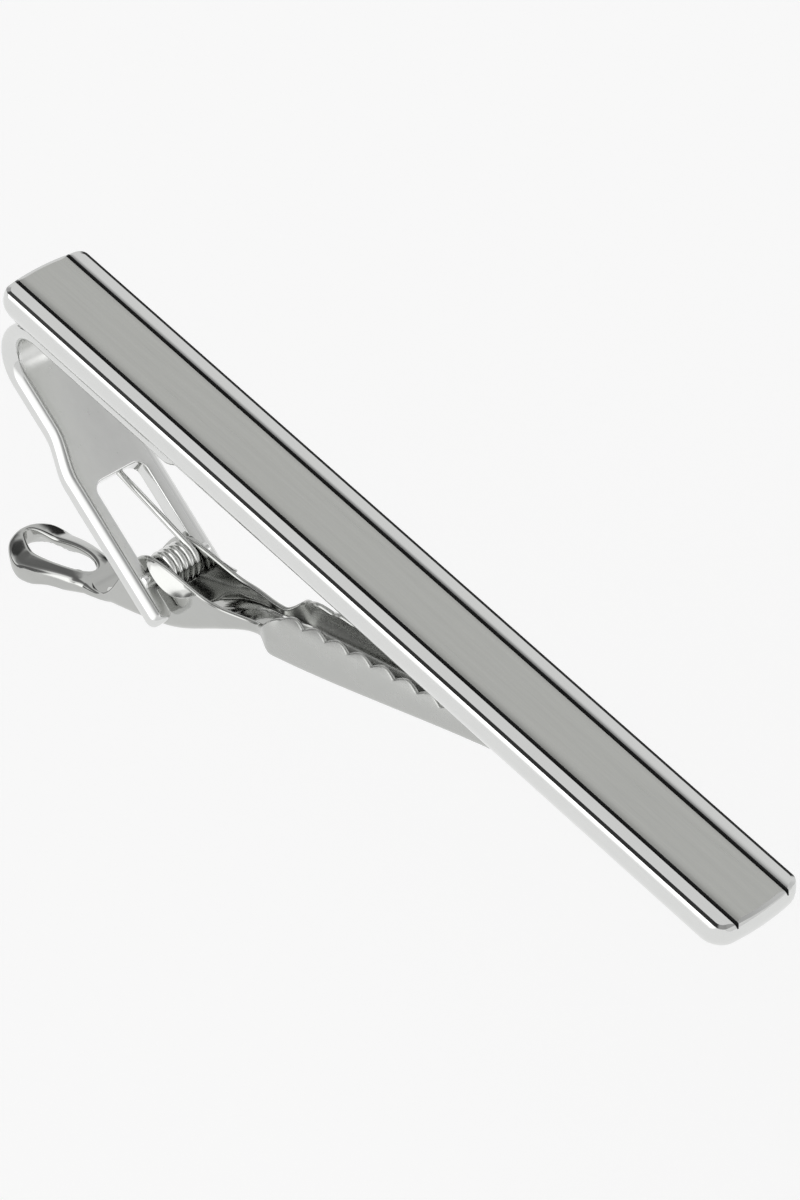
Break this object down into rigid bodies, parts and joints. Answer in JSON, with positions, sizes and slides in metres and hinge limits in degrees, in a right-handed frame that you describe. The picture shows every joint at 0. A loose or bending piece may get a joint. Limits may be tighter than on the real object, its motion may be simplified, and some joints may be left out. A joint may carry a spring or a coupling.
{
  "type": "tie bar with sprung clip",
  "caption": "Slim metal tie bar with a brushed grooved front and a sprung toothed jaw on a forked arm behind it, opened by a finger loop.",
  "frame": {"origin": "middle of the bar's flat back, where the tie lies", "axes": "+X along the bar from the clip's bend to the free end, +Y across the bar, +Z out of the bar's front"},
  "size_m": [0.0612, 0.0066, 0.0227],
  "materials": {
    "satin_plate": "lengthwise brushed plate with polished rails",
    "polished_plate": "bright polished plate",
    "spring_wire": "bright drawn wire",
    "solder": "satin"
  },
  "bodies": {
    "frame": {"front_bar": "satin_plate", "solder_seam": "solder", "clip_arm": "polished_plate", "torsion_spring": "spring_wire"},
    "lever": {"jaw_lever": "polished_plate"}
  },
  "joints": [
    {"name": "jaw_hinge", "type": "hinge", "parent": "frame", "child": "lever", "pos_m": [-0.01602, 0, -0.01143], "axis": [0, 1, 0], "range_deg": [0, 25], "stiffness_Nm_per_rad": 0.022, "springref_deg": -114.59, "deforming": ["torsion_spring"]}
  ]
}
